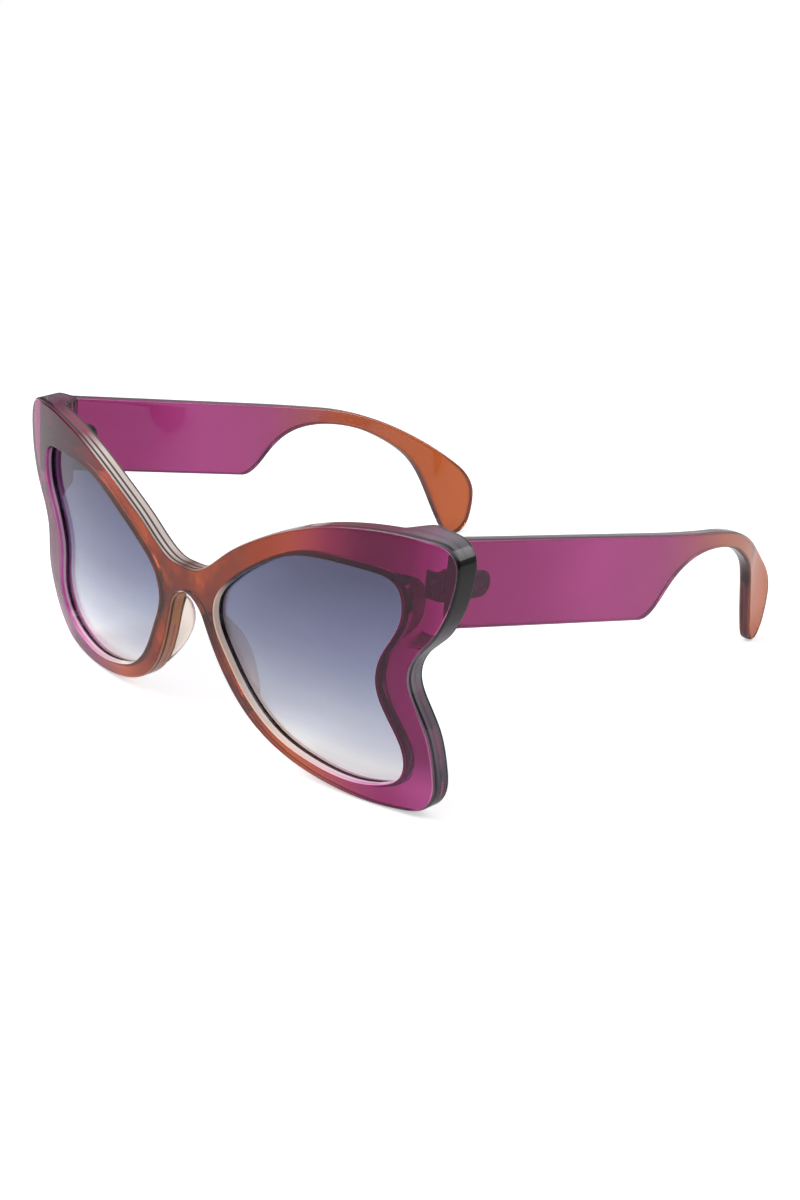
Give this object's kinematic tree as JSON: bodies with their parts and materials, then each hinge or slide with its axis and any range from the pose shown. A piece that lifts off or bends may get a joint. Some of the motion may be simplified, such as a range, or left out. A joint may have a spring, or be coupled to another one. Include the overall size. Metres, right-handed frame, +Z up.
{
  "type": "butterfly sunglasses",
  "caption": "Butterfly sunglasses: winged plastic front with graded lenses, wide blade temples that fold on metal barrel hinges.",
  "frame": {"origin": "centre of the base of the box around the open glasses, on the table they stand on", "axes": "+X across the face to the wearer's right temple as drawn, +Y back along the temples, +Z up"},
  "size_m": [0.1586, 0.1466, 0.0664],
  "materials": {
    "front_plastic": "clear moulded plastic, brown at the bridge and magenta at the wings, polished",
    "temple_plastic": "clear moulded plastic, magenta on the blade and amber at the ear part, polished",
    "lens": "graded tint, slate at the top and nearly clear at the bottom, polished",
    "pad_plastic": "clear cream plastic, polished",
    "hinge_metal": "nickel plated",
    "screw_metal": "turned steel"
  },
  "bodies": {
    "front": {"front_frame": "front_plastic", "lens_left": "lens", "lens_right": "lens", "nose_pad_left": "pad_plastic", "nose_pad_right": "pad_plastic", "hinge_front_leaf_left": "hinge_metal", "hinge_front_leaf_right": "hinge_metal", "hinge_screw_left": "screw_metal", "hinge_screw_right": "screw_metal"},
    "temple_left": {"temple_left": "temple_plastic", "hinge_temple_leaf_left": "hinge_metal"},
    "temple_right": {"temple_right": "temple_plastic", "hinge_temple_leaf_right": "hinge_metal"}
  },
  "joints": [
    {"name": "temple_right_fold", "type": "hinge", "parent": "front", "child": "temple_right", "pos_m": [0.07035, -0.05518, 0.0543], "axis": [0, 0.1305, 0.9914], "range_deg": [0, 69]},
    {"name": "temple_left_fold", "type": "hinge", "parent": "front", "child": "temple_left", "pos_m": [-0.07035, -0.05518, 0.0543], "axis": [0, -0.1305, -0.9914], "range_deg": [0, 82]}
  ]
}
